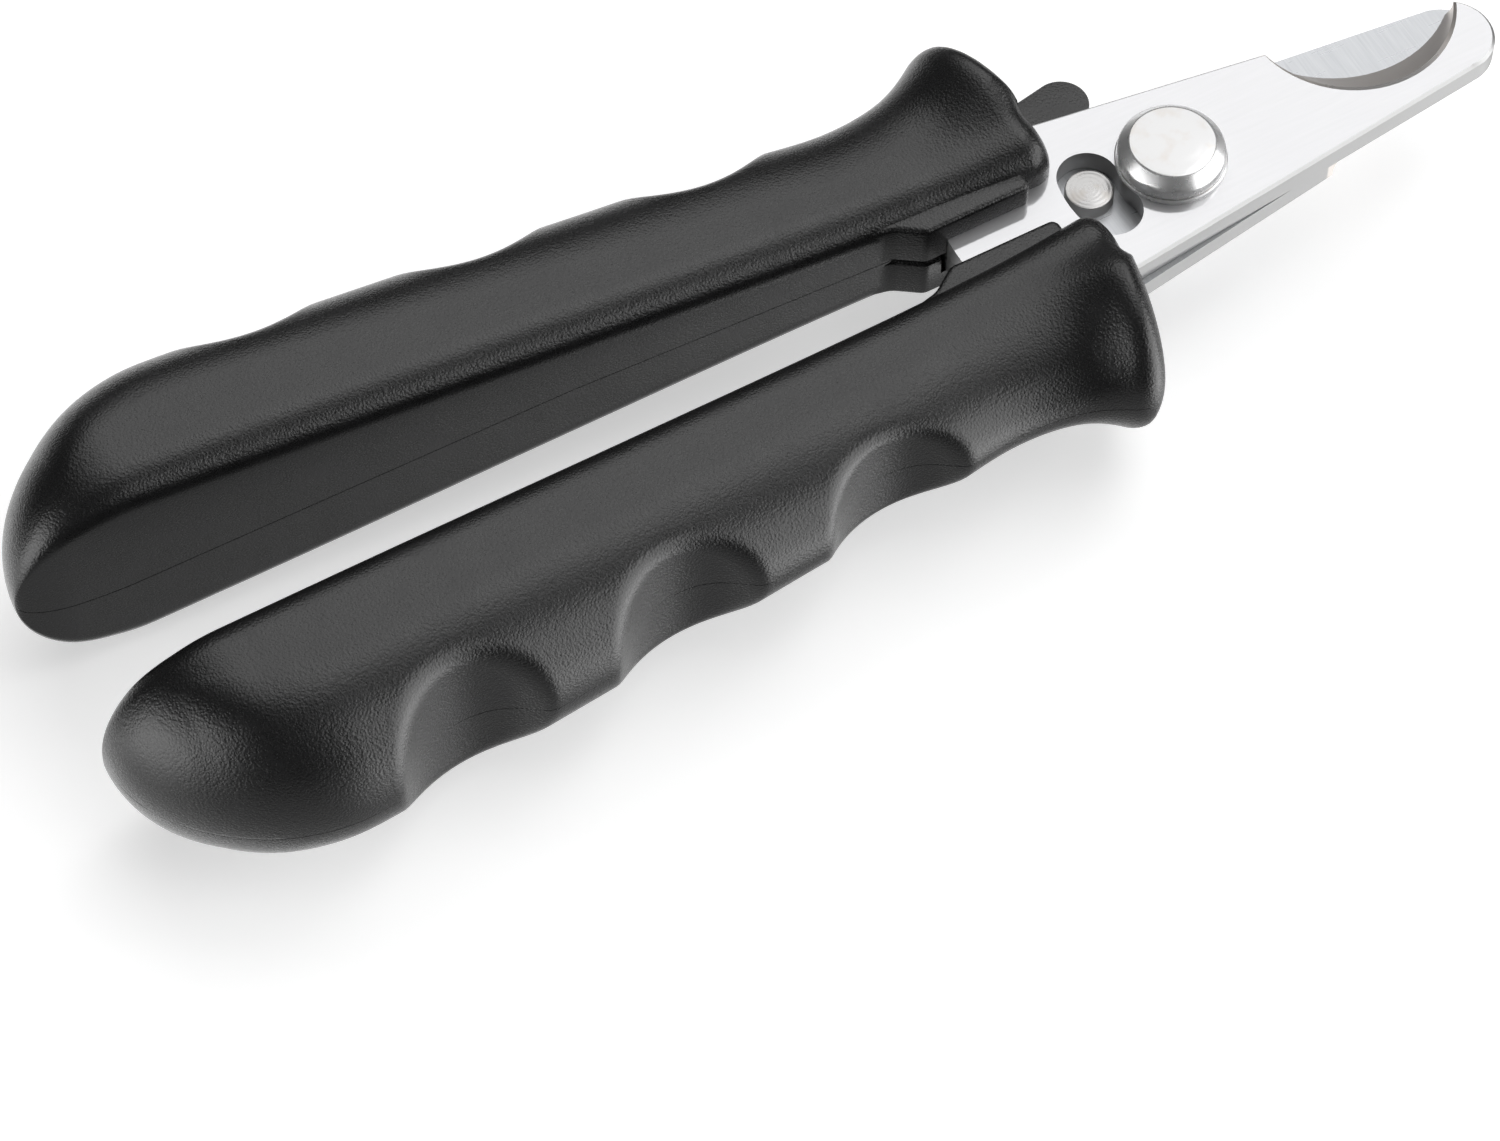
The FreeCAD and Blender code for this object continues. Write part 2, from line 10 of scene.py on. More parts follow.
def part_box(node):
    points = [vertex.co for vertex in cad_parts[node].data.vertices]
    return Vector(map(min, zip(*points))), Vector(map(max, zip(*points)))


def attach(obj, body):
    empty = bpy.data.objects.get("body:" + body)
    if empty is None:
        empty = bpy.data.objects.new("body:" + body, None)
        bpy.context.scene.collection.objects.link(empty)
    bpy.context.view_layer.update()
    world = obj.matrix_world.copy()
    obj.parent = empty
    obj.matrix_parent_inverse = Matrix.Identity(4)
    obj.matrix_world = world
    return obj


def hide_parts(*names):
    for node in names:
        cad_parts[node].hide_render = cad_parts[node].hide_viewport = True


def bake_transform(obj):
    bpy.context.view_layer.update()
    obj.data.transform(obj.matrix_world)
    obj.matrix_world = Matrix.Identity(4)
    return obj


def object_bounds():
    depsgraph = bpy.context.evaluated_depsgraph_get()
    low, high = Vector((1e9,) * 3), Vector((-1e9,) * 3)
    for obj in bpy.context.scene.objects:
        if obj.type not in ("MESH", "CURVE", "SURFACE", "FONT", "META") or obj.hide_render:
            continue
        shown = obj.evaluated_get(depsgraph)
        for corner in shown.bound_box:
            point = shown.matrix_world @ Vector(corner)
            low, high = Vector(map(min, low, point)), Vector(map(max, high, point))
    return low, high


# Pliers-style pet nail clipper. Shapes are drawn in millimetres with z = 0 in the plane where the
# two blades meet and the pivot axis at x = y = 0, then placed in the frame, which is in metres.

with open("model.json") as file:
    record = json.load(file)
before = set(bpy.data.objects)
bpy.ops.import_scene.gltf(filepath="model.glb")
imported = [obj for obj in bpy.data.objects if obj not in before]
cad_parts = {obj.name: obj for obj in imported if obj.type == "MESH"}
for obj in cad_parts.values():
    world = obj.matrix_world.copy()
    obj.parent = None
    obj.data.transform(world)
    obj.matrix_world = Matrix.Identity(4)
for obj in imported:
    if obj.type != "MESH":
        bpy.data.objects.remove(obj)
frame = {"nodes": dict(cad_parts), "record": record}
cad_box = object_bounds()

MM = 0.001
MEETING = (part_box("top_blade")[0].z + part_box("bottom_blade")[1].z) / 2     # height of that plane


def box_mm(node):
    """A node's corners in millimetres, measured from the meeting plane."""
    low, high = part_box(node)
    lift = Vector((0, 0, MEETING))
    return (low - lift) / MM, (high - lift) / MM


# ---- places and sizes read from the frame ----
PLATE = box_mm("top_blade")[1].z     # thickness of each blade plate
HANDLE_REAR = box_mm("upper_handle_top_shell")[0].x - 0.12
HANDLE_FRONT = -10.3
JOINT = {j["name"]: j for j in frame["record"]["behaviour"]["joints"]}
LEVER_PIVOT = tuple(v / MM for v in JOINT["lock_pivot"]["pos_m"][:2])
LOCK_SWING = JOINT["lock_pivot"]["range_deg"][1]
LEVER_LOW, LEVER_HIGH = box_mm("lock_lever")
PIN_LOW, PIN_HIGH = box_mm("stop_pin")
PIN_CENTRE = ((PIN_LOW.x + PIN_HIGH.x) / 2, (PIN_LOW.y + PIN_HIGH.y) / 2)
BOLT_LOW, BOLT_HIGH = box_mm("pivot_bolt")

# ---- blade plates ----
BACK_AT_PIVOT, BACK_SLOPE = -8.6, 0.112        # straight back edge: y at x = 0, and slope
FRONT_AT_PIVOT, FRONT_SLOPE = 8.8, -0.1576     # straight front edge
PLATE_REACH = 24.3        # radius of the wide part's rear edge about the pivot
NECK_X, SHOULDER_X = -15.0, -27.0              # the front edge slants from the neck to the tang
TANG_FRONT, TANG_REAR, TANG_HALF = (-30.0, 11.9), (-68.0, 14.3), 4.3
OTHER_PLATE_REACH = 24.9  # radius swept in each handle by the other handle's plate
OTHER_PLATE_CLEAR = 0.4   # room beside that plate's back edge
RIM_CENTRE, RIM_R = (25.75, 7.85), 10.6        # circle of the notch's rim
SLIP = 0.1                # clearance round parts that drop into a recess
CUT_PAST = -0.5           # cutters start on the far side of the meeting plane

# ---- handles ----
INNER_AT, INNER_Y, INNER_SLOPE = -69.0, 6.12, -0.0468     # straight inner face: x, y there, and slope
OUTER_STATIONS = [(-117, 25.0), (-103, 26.0), (-87, 25.0), (-71, 23.8), (-55, 22.4), (-39, 21.1),
                  (-29, 19.8), (-21, 20.5), (-12, 23.4)]
HEIGHT_STATIONS = [(-117, 13.4), (-92, 11.7), (-64, 9.5), (-38, 7.6), (-26, 7.2), (-19, 7.8), (-12, 10.4)]
NOSE_DROP = [(-26, 0.0), (-19, 0.5), (-12, 2.4)]     # how much lower the top is along its inner edge
INNER_CORNER = 3.6        # radius of the long edges beside the inner face
OUTER_ROUND = 9.5         # how far the rounded outer flank reaches in
REAR_INNER, REAR_OUTER, REAR_TOP = 6.0, 20.5, 13.2     # lengths over which the rear end rounds off
REAR_AXIS = 9.7           # y of the point that the rear end closes on
FRONT_ROUND = 3.2
FRONT_SLANT = 0.17        # the front face falls back by this much per millimetre outwards,
SLANT_FROM, SLANT_OVER = -32, 18     # which comes in over this length
FINGER_GROOVES = (-89.8, -66.2, -42.3)
GROOVE_DEPTH, GROOVE_HALF, GROOVE_SOFTNESS = 4.1, 7.7, 1.7
PARTING_BEVEL = 0.06      # bevel that makes the line between the two half shells
PARTING_FROM, PARTING_DROP = -64.0, 0.055     # behind this x that line drops by this much per millimetre
GUIDE_TOP = 5.3
# corners of the raised block on the inner face, as x, y and rounding radius
GUIDE_OUTLINE = [(-33.0, 7.0, 0), (-33.0, 4.9, 0), (-29.3, 4.1, 3.0), (-26.6, 2.2, 1.6),
                 (-14.7, 2.2, 0.9), (-14.7, 7.0, 0)]
SCREW_PLACES = ((-36.0, 12.28), (-98.0, 14.5))
SCREW_HEAD_TOP, SCREW_HEAD_R, HEAD_CLEAR = -4.6, 2.6, 0.3
FAR = -20                 # lower than any piece reaches

# ---- lock lever ----
TAB_START, TAB_END, TAB_HALF = (-16.0, 12.2), (-3.7, 14.4), 2.85
ELBOW, ARM_HALF, FOOT_END, FOOT = (-12.0, -0.8), 1.1, -7.5, (-1.5, -0.1)
HUB_R, BORE_R = 3.4, 1.3
HOOK_CLEAR = 0.5
LEVER_BED = -5.6          # floor of the lever's slot in the handle
LEVER_SLOT = [(-21.4, 6.6), (-14.0, -6.0), (0, -6.0), (0, 18.6), (-16.0, 18.6), (-21.4, 15.0)]

# ---- pivot stack ----
WASHER = 0.45             # thickness of the washer under the bolt's head
HEAD_R, SHANK_R, STUD_R = 5.4, 3.0, 2.5
STUB_R = 1.2              # thin lower end of the stop pin
AXIS_R = 0.05             # turned bodies start this far from their axis

# ---- torsion spring ----
COIL_R, WIRE_R, COIL_TOP, COIL_BOTTOM = 4.6, 0.6, -3.3, -6.5
LEG_ANGLE, LEG_LENGTH, LEG_CLEAR = 10.0, 20.0, 0.15


# ---- numbers ----

def smooth(x, stations):
    """Cubic through (x, value) stations, with each slope taken from the neighbours."""
    x = min(max(x, stations[0][0]), stations[-1][0])
    i = min(sum(s[0] <= x for s in stations) - 1, len(stations) - 2)

    def slope(k):
        a = stations[max(k - 1, 0)]
        b = stations[min(k + 1, len(stations) - 1)]
        return (b[1] - a[1]) / (b[0] - a[0])

    (x0, v0), (x1, v1) = stations[i], stations[i + 1]
    span = x1 - x0
    t = (x - x0) / span
    return (v0 * (1 + 2 * t) * (1 - t) ** 2 + v1 * t * t * (3 - 2 * t)
            + span * (slope(i) * t * (1 - t) ** 2 - slope(i + 1) * t * t * (1 - t)))


def smooth_min(a, b, k):
    h = np.clip(0.5 + 0.5 * (b - a) / k, 0, 1)
    return b + (a - b) * h - k * h * (1 - h)


def rounding(distance, length):
    """How full a section is, from 0 to 1, at a distance from a rounded end."""
    return sqrt(1 - max(0.0, 1 - distance / length) ** 2)


def rear_corner(reach, line):
    """Where a straight edge, given as y by x, meets an arc about the pivot behind it; as an angle."""
    slope = line(1.0) - line(0.0)
    steep = 1 + slope ** 2
    x = -(slope * line(0.0) + sqrt(steep * reach ** 2 - line(0.0) ** 2)) / steep
    return np.degrees(atan2(line(x), x)) % 360


def back_edge(x):
    return BACK_AT_PIVOT + BACK_SLOPE * x


def front_edge(x):
    return FRONT_AT_PIVOT + FRONT_SLOPE * x


def inner_face(x):
    return INNER_Y + INNER_SLOPE * (x - INNER_AT)


def tang_point(x, offset=0.0):
    slope = (TANG_REAR[1] - TANG_FRONT[1]) / (TANG_REAR[0] - TANG_FRONT[0])
    return (x, TANG_FRONT[1] + slope * (x - TANG_FRONT[0]) + offset)


def polar(radius, angle):
    return (radius * cos(radians(angle)), radius * sin(radians(angle)))


def arc(centre, radius, start, end, count=24):
    """Points on a circle's arc, angles in degrees."""
    return [(centre[0] + radius * cos(radians(a)), centre[1] + radius * sin(radians(a)))
            for a in np.linspace(start, end, count)]


def turned(points, angle, centre):
    c, s = cos(radians(angle)), sin(radians(angle))
    return [(centre[0] + c * (x - centre[0]) - s * (y - centre[1]),
             centre[1] + s * (x - centre[0]) + c * (y - centre[1])) for x, y in points]


def rounded_outline(corners, steps=10):
    """Closed outline through (x, y, radius) corners, each one rounded with an arc."""
    points = []
    n = len(corners)
    for i, (x, y, radius) in enumerate(corners):
        here = Vector((x, y))
        before = Vector(corners[i - 1][:2]) - here
        after = Vector(corners[(i + 1) % n][:2]) - here
        if radius <= 0:
            points.append((x, y))
            continue
        before.normalize()
        after.normalize()
        half = before.angle(after) / 2
        centre = here + (before + after).normalized() * radius / sin(half)
        start = here + before * radius / np.tan(half) - centre
        end = here + after * radius / np.tan(half) - centre
        swing = start.angle_signed(end)
        for t in np.linspace(0, 1, steps):
            a = -swing * t
            points.append((centre.x + start.x * cos(a) - start.y * sin(a),
                           centre.y + start.x * sin(a) + start.y * cos(a)))
    return points


# ---- meshes ----

def shade(obj, angle=35):
    obj.data.polygons.foreach_set("use_smooth", [True] * len(obj.data.polygons))
    obj.data.set_sharp_from_angle(angle=radians(angle))


def mesh_object(name, verts, faces, angle=35):
    mesh = bpy.data.meshes.new(name)
    mesh.from_pydata([tuple(v) for v in verts], [], faces)
    bm = bmesh.new()
    bm.from_mesh(mesh)
    bmesh.ops.recalc_face_normals(bm, faces=bm.faces)
    bm.to_mesh(mesh)
    bm.free()
    obj = bpy.data.objects.new(name, mesh)
    bpy.context.scene.collection.objects.link(obj)
    shade(obj, angle)
    return obj


def prism(name, points, z0, z1):
    n = len(points)
    verts = [(x, y, z0) for x, y in points] + [(x, y, z1) for x, y in points]
    faces = [list(range(n)), list(range(n, 2 * n))]
    faces += [(i, (i + 1) % n, n + (i + 1) % n, n + i) for i in range(n)]
    return mesh_object(name, verts, faces)


def disc(name, radius, z0, z1, centre=(0, 0), count=64):
    return prism(name, arc(centre, radius, 0, 360, count + 1)[:-1], z0, z1)


def tube_faces(rings, count):
    """Faces that join rings of count points each, with a face over either end."""
    faces = [(i * count + k, i * count + (k + 1) % count,
              (i + 1) * count + (k + 1) % count, (i + 1) * count + k)
             for i in range(rings - 1) for k in range(count)]
    return faces + [list(range(count)), list(range((rings - 1) * count, rings * count))]


def turned_body(name, profile, centre=(0, 0), count=160, angle=35):
    """Body turned about an upright axis from (radius, z) points, flat at both ends."""
    verts = [(centre[0] + r * cos(2 * pi * k / count), centre[1] + r * sin(2 * pi * k / count), z)
             for r, z in profile for k in range(count)]
    return mesh_object(name, verts, tube_faces(len(profile), count), angle)


def swept_wire(name, path, radius, count=20):
    """Round wire along a list of points, closed at both ends."""
    path = [Vector(p) for p in path]
    verts = []
    side = Vector((0, 0, 1))
    for i, point in enumerate(path):
        along = (path[min(i + 1, len(path) - 1)] - path[max(i - 1, 0)]).normalized()
        across = along.cross(side).normalized()
        up = across.cross(along)
        verts += [point + radius * (cos(a) * across + sin(a) * up)
                  for a in np.linspace(0, 2 * pi, count, False)]
    return mesh_object(name, verts, tube_faces(len(path), count), 50)


def applied(obj):
    """Replace a mesh with what its modifiers make of it."""
    graph = bpy.context.evaluated_depsgraph_get()
    mesh = bpy.data.meshes.new_from_object(obj.evaluated_get(graph))
    obj.modifiers.clear()
    old = obj.data
    obj.data = mesh
    bpy.data.meshes.remove(old)
    return obj


def combine(obj, others, operation):
    """Boolean of obj with the other meshes, which are used up."""
    for other in others:
        modifier = obj.modifiers.new("combine", "BOOLEAN")
        modifier.object = other
        modifier.operation = operation
        modifier.solver = "EXACT"
        applied(obj)
        bpy.data.objects.remove(other)
    return obj


def bevelled(obj, width, segments=3, angle=30):
    modifier = obj.modifiers.new("bevel", "BEVEL")
    modifier.width = width
    modifier.segments = segments
    modifier.limit_method = "ANGLE"
    modifier.angle_limit = radians(angle)
    return applied(obj)


def flipped(obj, y_sign, z_sign):
    """Mirror a mesh to the other handle, to the other side of the meeting plane, or both."""
    obj.data.transform(Matrix.Diagonal((1, y_sign, z_sign, 1)))
    if y_sign * z_sign < 0:
        obj.data.flip_normals()
    return obj


def placed(obj, node, body, material):
    """Move a finished piece from millimetres into the frame, where it stands for its CAD node."""
    obj.data.transform(Matrix.Translation((0, 0, MEETING)) @ Matrix.Scale(MM, 4))
    obj.data.materials.clear()
    obj.data.materials.append(material)
    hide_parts(node)
    if body:
        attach(obj, body)
    return obj


# ---- handles ----

def groove_limit(x):
    """How far out the flank may reach at x: the near walls of the upright round finger grooves."""
    radius = (GROOVE_HALF ** 2 + GROOVE_DEPTH ** 2) / (2 * GROOVE_DEPTH)
    reach = 99.0
    for centre in FINGER_GROOVES:
        d = x - centre
        if abs(d) < radius:
            wall = smooth(centre, OUTER_STATIONS) - GROOVE_DEPTH + radius - sqrt(radius ** 2 - d * d)
            reach = min(reach, wall)
    return reach


def section(x, over, fall=0.0):
    """Points round one half of the handle at x, from the parting line inside to the one outside."""
    distance = x - HANDLE_REAR
    outer, height = smooth(x, OUTER_STATIONS), smooth(x, HEIGHT_STATIONS)
    inner = REAR_AXIS + (inner_face(x) - REAR_AXIS) * rounding(distance, REAR_INNER) + fall
    outer = REAR_AXIS + (outer - REAR_AXIS) * rounding(distance, REAR_OUTER) - fall
    height = height * rounding(distance, REAR_TOP) - fall
    edge_height = height - smooth(x, NOSE_DROP)
    width = outer - inner
    corner = min(INNER_CORNER, width * 0.25, edge_height * 0.8)
    flank = min(OUTER_ROUND, width * 0.72)
    bevel = min(PARTING_BEVEL, width * 0.1, height * 0.1)
    level = over * min(PARTING_DROP * max(0.0, PARTING_FROM - x), 0.2 * height)
    points = [(inner + bevel, level)]
    points += [(inner, z) for z in np.linspace(level + bevel, edge_height - corner, 14, endpoint=False)]
    points += [(inner + corner * (1 - sin(a)), edge_height - corner * (1 - cos(a)))
               for a in np.linspace(pi / 2, 0, 14, endpoint=False)]
    top_width, rise = width - flank - corner, height - edge_height
    points += [(inner + corner + top_width * t, edge_height + rise * t * t * (3 - 2 * t))
               for t in np.linspace(0, 1, 22, endpoint=False)]
    points += [(outer - flank * (1 - sin(a)), height * cos(a))
               for a in np.linspace(0, acos((level + bevel) / height), 54)]
    points += [(outer, level)]
    yz = np.array(points)
    yz[:, 0] = smooth_min(yz[:, 0], np.full(len(yz), groove_limit(x)), GROOVE_SOFTNESS)
    yz[-1, 0] = yz[-2, 0] - bevel
    lean = FRONT_SLANT * max(0.0, min(1.0, (x - SLANT_FROM) / SLANT_OVER)) ** 2
    return np.column_stack([x - lean * (yz[:, 0] - inner_face(x)), yz])


def moulding(over):
    """One half of the upper handle, solid, before anything is let into it. The lower half is drawn
    upside down; over is +1 for it and -1 for the upper half, which laps over it towards the rear."""
    rear = [HANDLE_REAR + REAR_OUTER * (1 - cos(a)) for a in np.linspace(0.02, pi / 2, 40)]
    middle = list(np.arange(rear[-1] + 0.5, HANDLE_FRONT - FRONT_ROUND, 0.5))
    rings = [section(x, over) for x in rear + middle]
    rings += [section(HANDLE_FRONT - FRONT_ROUND * (1 - sin(a)), over, FRONT_ROUND * (1 - cos(a)))
              for a in np.linspace(0, pi / 2, 12)]
    n, m = len(rings), len(rings[0])
    faces = [(i * m + k, (i + 1) * m + k, (i + 1) * m + (k + 1) % m, i * m + (k + 1) % m)
             for i in range(n - 1) for k in range(m)]
    faces += [list(range(m)), list(range((n - 1) * m, n * m))]
    half = mesh_object("moulding", np.concatenate(rings), faces)
    return combine(half, [guide_block()], "UNION")


def guide_block():
    """Raised block on the inner face that holds the other handle's plate down."""
    return bevelled(prism("guide_block", rounded_outline(GUIDE_OUTLINE), 0, GUIDE_TOP), 0.6, 4, 60)


def own_plate_recess():
    """Recess for the handle's own plate and tang (upper handle, upper half)."""
    reach = PLATE_REACH + SLIP
    neck = -5                 # the recess is open ahead of here
    high = rear_corner(reach, lambda x: tang_point(x, -TANG_HALF - SLIP)[1])
    low = rear_corner(reach, lambda x: back_edge(x) - SLIP)
    points = arc((0, 0), reach, high, low, 30)
    points += [(neck, back_edge(neck) - SLIP), (neck, front_edge(neck) + SLIP)]
    points += [(NECK_X, front_edge(NECK_X) + SLIP), tang_point(SHOULDER_X, TANG_HALF + SLIP)]
    points += [tang_point(TANG_REAR[0], TANG_HALF + SLIP), tang_point(TANG_REAR[0], -TANG_HALF - SLIP)]
    return prism("own_plate_recess", points, CUT_PAST, PLATE + 0.03)


def other_plate_pocket():
    """Room for the other handle's plate as it swings, drawn upside down for the upper handle."""
    def limit(x):
        return OTHER_PLATE_CLEAR - back_edge(x)
    points = arc((0, 0), OTHER_PLATE_REACH, rear_corner(OTHER_PLATE_REACH, limit), 235, 40)
    points += [(0, points[-1][1]), (0, limit(0))]
    return prism("other_plate_pocket", points, CUT_PAST, PLATE + 0.15)


def counterbores(side):
    """Holes from below for the two handle screws and their heads."""
    return [disc("screw_way", SCREW_HEAD_R + HEAD_CLEAR, FAR, SCREW_HEAD_TOP, (x, side * y))
            for x, y in SCREW_PLACES]


def released_hook(grow=0.0):
    """Outline of the lever's arm and foot, turned to the released position."""
    direction = np.degrees(atan2(ELBOW[1] - LEVER_PIVOT[1], ELBOW[0] - LEVER_PIVOT[0]))
    half = ARM_HALF + grow
    points = arc(ELBOW, half, direction - 90, direction - 30, 8)
    points = arc(LEVER_PIVOT, half, direction + 90, direction + 270, 12) + points
    points += [(ELBOW[0] + 0.4, FOOT[0] - grow), (FOOT_END + grow, FOOT[0] - grow)]
    points += [(FOOT_END + grow, FOOT[1] + grow)]
    near = (ELBOW[0] - LEVER_PIVOT[0], ELBOW[1] - LEVER_PIVOT[1])
    length = hypot(*near)
    t = (FOOT[1] + grow - LEVER_PIVOT[1]) / near[1]
    points.append((LEVER_PIVOT[0] + near[0] * t + half * length / abs(near[1]), FOOT[1] + grow))
    return turned(points, -LOCK_SWING, LEVER_PIVOT)


def lever_slot():
    return prism("lever_slot", LEVER_SLOT, LEVER_BED, -PLATE)


def leg_hole(sign, z):
    """Blind hole for one leg of the spring."""
    x, y = polar(COIL_R, sign * (90 - LEG_ANGLE))
    dx, dy = polar(LEG_LENGTH + 2 * LEG_CLEAR, sign * (180 - LEG_ANGLE))
    return swept_wire("leg_hole", [(x, y, z), (x + dx, y + dy, z)], WIRE_R + LEG_CLEAR)


# ---- materials ----

class Shader:
    """Short way to build the nodes of a material or of the world: numbers, colours and sockets can
    all be given as inputs."""

    def __init__(self, owner):
        owner.use_nodes = True
        self.owner = owner
        self.tree = owner.node_tree
        self.place = self.node("TexCoord")

    def node(self, kind, inputs=None, **settings):
        made = self.tree.nodes.new("ShaderNode" + kind)
        for key, value in settings.items():
            setattr(made, key, value)
        for key, value in (inputs or {}).items():
            self.feed(made.inputs[key], value)
        return made

    def feed(self, socket, value):
        if isinstance(value, bpy.types.NodeSocket):
            self.tree.links.new(value, socket)
        elif isinstance(value, tuple) and len(value) == 3 and socket.type == "RGBA":
            socket.default_value = (*value, 1)
        else:
            socket.default_value = value

    def math(self, operation, a, b=0.0, c=0.0):
        return self.node("Math", {0: a, 1: b, 2: c}, operation=operation).outputs[0]

    def noise(self, scale, detail=2.0, stretch=(1, 1, 1), turn=0.0):
        mapping = self.node("Mapping", {"Vector": self.place.outputs["Object"], "Scale": stretch,
                                        "Rotation": (0, 0, radians(turn))})
        inputs = {"Vector": mapping.outputs[0], "Scale": scale, "Detail": detail}
        return self.node("TexNoise", inputs).outputs["Fac"]

    def fade(self, value, low, high, to_low=0.0, to_high=1.0):
        return self.node("MapRange", {"Value": value, "From Min": low, "From Max": high,
                                      "To Min": to_low, "To Max": to_high}).outputs[0]

    def mix(self, share, a, b):
        made = self.node("Mix", {"Factor": share}, data_type="RGBA")
        self.feed(made.inputs[6], a)
        self.feed(made.inputs[7], b)
        return made.outputs[2]

    def bump(self, height, distance, strength=1.0, normal=None):
        inputs = {"Height": height, "Distance": distance, "Strength": strength}
        if normal:
            inputs["Normal"] = normal
        return self.node("Bump", inputs).outputs[0]

    def split(self, output):
        return self.node("SeparateXYZ", {0: self.place.outputs[output]}).outputs

    def reach(self, centre):
        """Distance in x and y from an upright axis, given in millimetres."""
        place = self.split("Object")
        dx = self.math("SUBTRACT", place[0], centre[0] * MM)
        dy = self.math("SUBTRACT", place[1], centre[1] * MM)
        squares = [self.math("MULTIPLY", d, d) for d in (dx, dy)]
        return self.math("SQRT", self.math("ADD", *squares))

    def finish(self, **inputs):
        surface = self.tree.nodes["Principled BSDF"]
        for key, value in inputs.items():
            self.feed(surface.inputs[key.replace("_", " ")], value)
        return self.owner

    def haze(self, share, colour, roughness):
        """Mixes in a wide, soft reflection, as fine polishing marks give."""
        wide = self.node("BsdfAnisotropic", {"Color": colour, "Roughness": roughness}).outputs[0]
        clear = self.tree.nodes["Principled BSDF"].outputs[0]
        both = self.node("MixShader", {0: share, 1: clear, 2: wide})
        self.tree.links.new(both.outputs[0], self.tree.nodes["Material Output"].inputs["Surface"])


def new_material(name):
    return Shader(bpy.data.materials.new(name))


def black_plastic():
    """Satin black moulding with a fine pebble grain; the flat inner faces are left smoother."""
    s = new_material("black_plastic")
    normal, place = s.split("Normal"), s.split("Object")
    outward = s.math("MULTIPLY", normal[1], s.math("SIGN", place[1]))
    inner = s.fade(outward, -0.8, -0.97)
    cells = {"Vector": s.place.outputs["Object"], "Scale": 3800.0, "Smoothness": 0.4}
    pebbles = s.node("TexVoronoi", cells, feature="SMOOTH_F1").outputs["Distance"]
    grain = s.math("MULTIPLY_ADD", pebbles, 0.7, s.math("MULTIPLY", s.noise(9000, 2), 0.6))
    pebbled = s.bump(grain, 0.00006, s.fade(inner, 0, 1, 0.8, 0.25))
    wavy = s.bump(s.noise(90, 2), 0.0004, 0.2, pebbled)
    blotch = s.noise(260, 3)
    colour = s.mix(blotch, (0.0050, 0.0050, 0.0052), (0.0075, 0.0075, 0.0078))
    rough = s.math("ADD", s.fade(blotch, 0.3, 0.7, 0.22, 0.28), s.fade(grain, 0.2, 0.8, -0.03, 0.06))
    return s.finish(Base_Color=colour, Roughness=rough, IOR=1.55, Normal=wavy)


def blade_steel(name, brushed):
    """Polished plate with a slight haze, satin side faces and a ground notch bevel whose lighter, a
    little warmer tint is a painted sheen;
    brushed gives the meeting face its crosswise grinding lines."""
    s = new_material(name)
    normal = s.split("Normal")
    flat = s.fade(s.math("ABSOLUTE", normal[2]), 0.9, 0.98)
    scratches = s.noise(2600, 3, (0.06, 1.0, 1.0), 8)
    grinding = s.noise(5200, 2, (1.0, 0.03, 1.0), 12)
    meeting = s.fade(normal[2], 0.9, 0.98) if brushed else 0.0
    wave = s.bump(s.noise(70, 1), 0.0003, 0.12)
    fine = s.bump(scratches, 0.000004, 0.35, wave)
    cross = s.bump(grinding, 0.000012, s.math("MULTIPLY", meeting, 0.8), fine)
    reach = s.reach((RIM_CENTRE[0], (-1 if brushed else 1) * RIM_CENTRE[1]))
    near_notch = s.fade(reach, (RIM_R + 0.9) * MM, (RIM_R + 0.7) * MM)
    ground_bevel_and_sheen = s.math("MULTIPLY", near_notch, s.math("SUBTRACT", 1.0, flat))
    tint = s.mix(flat, (0.46, 0.46, 0.46), s.mix(scratches, (0.62, 0.62, 0.63), (0.67, 0.67, 0.68)))
    # painted sheen: the ground notch bevel gets a lighter, warmer tint than the other side faces; its
    # added roughness is the real grinding
    tint = s.mix(ground_bevel_and_sheen, tint, (0.74, 0.70, 0.67))
    tint = s.mix(meeting, tint, s.mix(grinding, (0.42, 0.43, 0.45), (0.58, 0.59, 0.60)))
    rough = s.math("ADD", s.fade(scratches, 0.3, 0.8, 0.05, 0.10), s.math("MULTIPLY", ground_bevel_and_sheen, 0.05))
    rough = s.math("ADD", rough, s.math("MULTIPLY", meeting, 0.22))
    rough = s.math("ADD", rough, s.fade(flat, 0, 1, 0.26, 0.0))
    s.haze(0.4, tint, 0.62)
    return s.finish(Base_Color=tint, Metallic=1.0, Roughness=rough, Normal=cross)


def turned_steel(name, centre, colour=(0.82, 0.82, 0.82), rings=9000.0, roughness=0.14, depth=0.000003):
    """Metal with fine rings left by turning about a centre; flanks are rougher, and their lighter colour
    is a painted sheen.
    """
    s = new_material(name)
    wobble = s.math("MULTIPLY", s.noise(400, 2), 3.0)
    ripple = s.math("SINE", s.math("ADD", s.math("MULTIPLY", s.reach(centre), rings), wobble))
    smudge = s.noise(500, 3)
    normal = s.bump(ripple, depth, 0.6)
    flank = s.fade(s.math("ABSOLUTE", s.split("Normal")[2]), 0.97, 0.88)
    stain = s.math("MULTIPLY", s.fade(smudge, 0.5, 0.75), s.fade(flank, 0, 1, 1.0, 0.3))
    tint = s.mix(stain, colour, tuple(v * w for v, w in zip(colour, (0.93, 0.88, 0.82))))
    # painted sheen: the flanks get a colour half as light again as the top faces
    tint = s.mix(flank, tint, tuple(min(1.0, 1.5 * v) for v in colour))
    rough = s.fade(smudge, 0.3, 0.7, roughness * 0.7, roughness * 1.4)
    rough = s.math("ADD", rough, s.fade(ripple, -1, 1, 0, 0.03))
    rough = s.math("MULTIPLY_ADD", flank, 0.14, rough)
    s.haze(0.3, tint, 0.6)
    return s.finish(Base_Color=tint, Metallic=1.0, Roughness=rough, Normal=normal)


